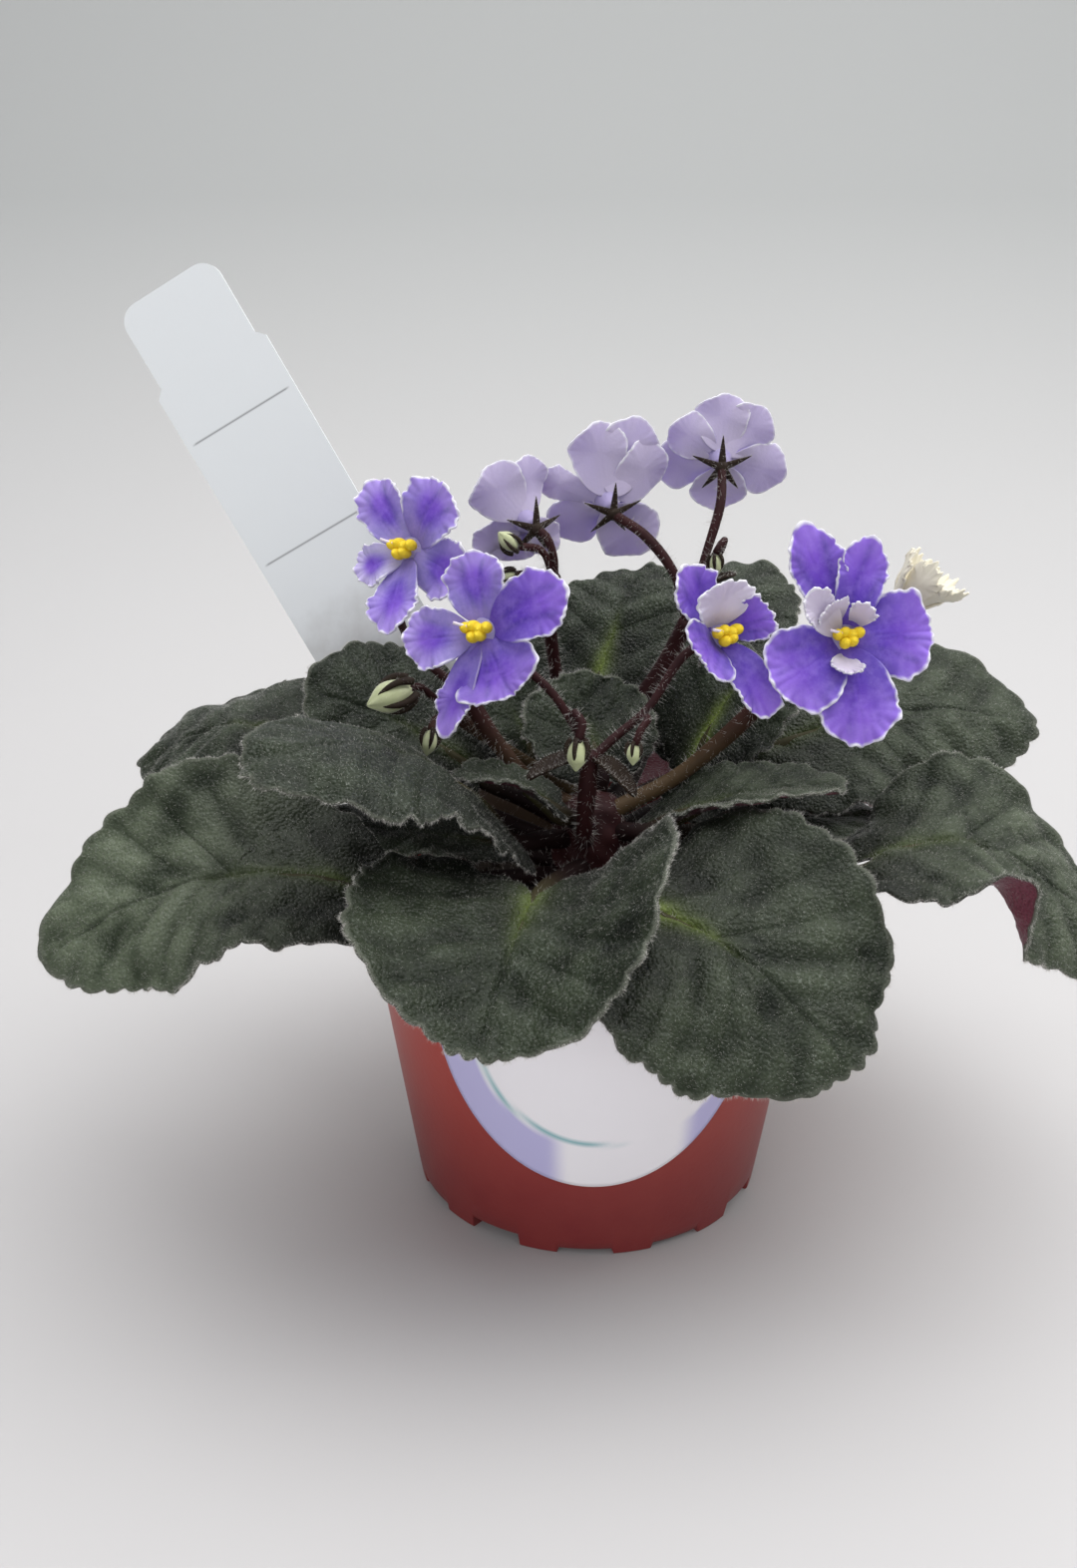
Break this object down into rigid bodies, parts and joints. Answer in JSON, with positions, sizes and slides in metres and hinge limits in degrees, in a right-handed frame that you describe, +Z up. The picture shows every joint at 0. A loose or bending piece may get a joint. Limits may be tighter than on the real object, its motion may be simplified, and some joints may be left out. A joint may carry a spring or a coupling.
{
  "type": "potted african violet",
  "caption": "Potted african violet: a rosette of scalloped hairy leaves with stalks of white-edged violet flowers, in a tapered plastic pot with a round sticker and a plant label.",
  "frame": {"origin": "middle of the whole plant's box, on the surface that the pot stands on", "axes": "+Z up, -Y towards the front of the pot with its sticker, +X to the right as seen from the front"},
  "size_m": [0.242, 0.1918, 0.217],
  "materials": {
    "pot_plastic": "smooth moulded terracotta-coloured plastic",
    "potting_soil": "dark crumbly potting mix",
    "sticker_paper": "satin printed sticker",
    "label_plastic": "satin white plastic",
    "stem": "purple-brown, hairy",
    "leaf": "dark grey-green, quilted and hairy",
    "petal": "violet with a frilled white edge",
    "petal_faded": "cream, fading",
    "anther": "bright yellow, powdery"
  },
  "bodies": {
    "root": {"pot": "pot_plastic", "soil": "potting_soil", "sticker": "sticker_paper", "plant_label": "label_plastic", "crown": "stem", "leaf_front": "leaf", "leaf_front_right": "leaf", "leaf_left": "leaf", "leaf_back_left_low": "leaf", "leaf_left_edge": "leaf", "leaf_back_left": "leaf", "leaf_small_left": "leaf", "leaf_back": "leaf", "leaf_inner": "leaf", "leaf_right_edge": "leaf", "leaf_right_back": "leaf", "leaf_right": "leaf", "leaf_back_right": "leaf", "leaf_inner_right": "leaf", "leaf_inner_left": "leaf", "leaf_low_left": "leaf", "leaf_low_right": "leaf", "leaf_rear_left": "leaf", "leaf_rear": "leaf", "leaf_rear_right": "leaf", "spray_front": "stem", "spray_left": "stem", "spray_buds": "stem", "spray_right": "stem", "spray_back": "stem", "spray_back_left": "stem", "bloom_left": "petal", "bloom_front": "petal", "bloom_back_left": "petal", "bloom_back": "petal", "bloom_back_right": "petal", "bloom_small": "petal", "bloom_right": "petal", "bloom_faded": "petal_faded", "stamens_left": "anther", "stamens_front": "anther", "stamens_back_left": "anther", "stamens_back": "anther", "stamens_back_right": "anther", "stamens_small": "anther", "stamens_right": "anther"}
  },
  "joints": []
}
